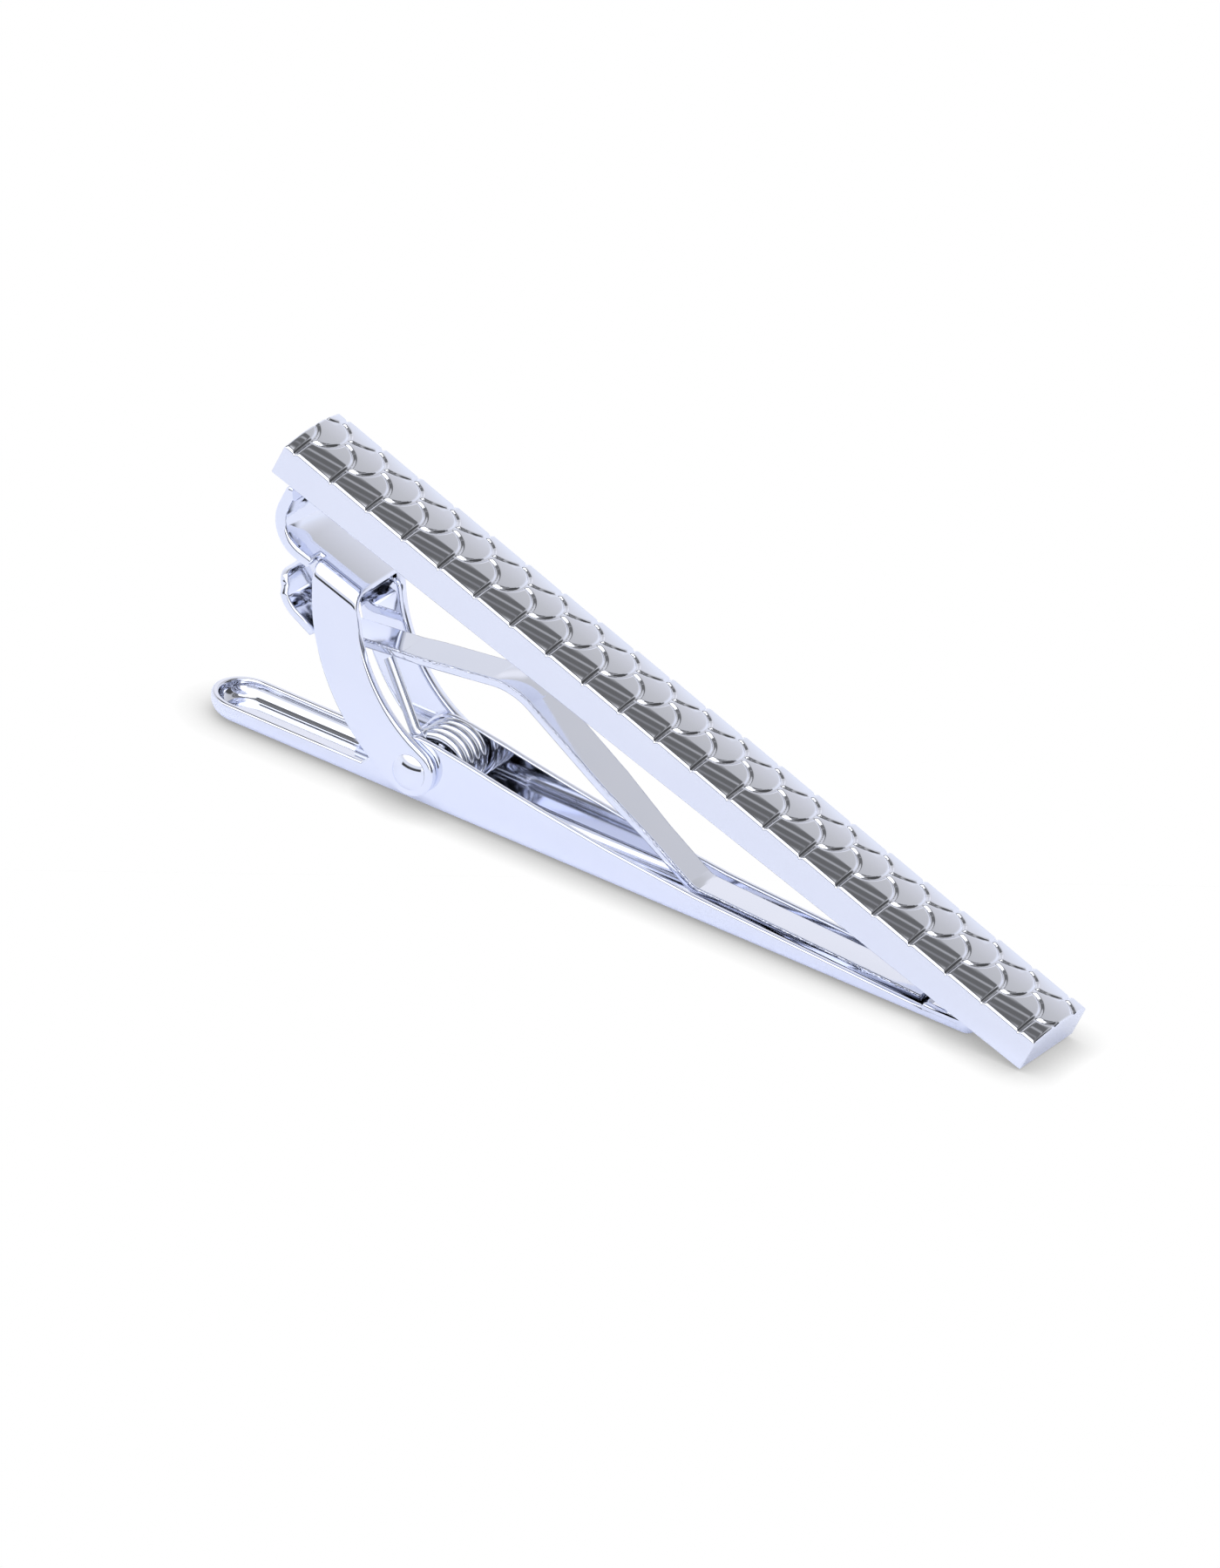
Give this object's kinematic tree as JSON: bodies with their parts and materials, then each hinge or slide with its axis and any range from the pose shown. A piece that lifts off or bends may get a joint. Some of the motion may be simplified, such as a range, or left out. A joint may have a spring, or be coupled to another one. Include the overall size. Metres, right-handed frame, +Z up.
{
  "type": "tie clip",
  "caption": "Tie clip: a crowned front bar with a folded bracket, and a sprung channel jaw with a toothed tip that opens away from the bar's back.",
  "frame": {"origin": "centre of the bounding box in plan, on the plane that the jaw's flat underside rests on", "axes": "+X along the jaw from its thumb end to its toothed tip, +Y along the pin, +Z up from the resting face towards the front bar"},
  "size_m": [0.061, 0.0068, 0.021],
  "materials": {
    "front_bar": "mirror polished, engraved with fish scales on the crowned face",
    "bracket": "polished plate",
    "lower_jaw": "polished plate",
    "inner_strip": "polished plate",
    "torsion_spring": "drawn spring wire, lightly plated",
    "pivot_pin": "polished plate"
  },
  "bodies": {
    "bar_body": {"front_bar": "front_bar", "bracket": "bracket", "pivot_pin": "pivot_pin", "torsion_spring": "torsion_spring"},
    "jaw_body": {"lower_jaw": "lower_jaw"},
    "strip_body": {"inner_strip": "inner_strip"}
  },
  "joints": [
    {"name": "jaw_pivot", "type": "hinge", "parent": "bar_body", "child": "jaw_body", "pos_m": [-0.0148, 0, 0.00254], "axis": [0, 1, 0], "range_deg": [0, 14], "stiffness_Nm_per_rad": 0.03, "springref_deg": -80.21, "deforming": ["torsion_spring"]},
    {"name": "strip_pivot", "type": "hinge", "parent": "bar_body", "child": "strip_body", "pos_m": [-0.02299, 0, 0.00912], "axis": [0, 1, 0], "range_deg": [0, 11.5]}
  ],
  "couplings": [
    {"joint": "strip_pivot", "follows": "jaw_pivot", "ratio": 0.8}
  ]
}
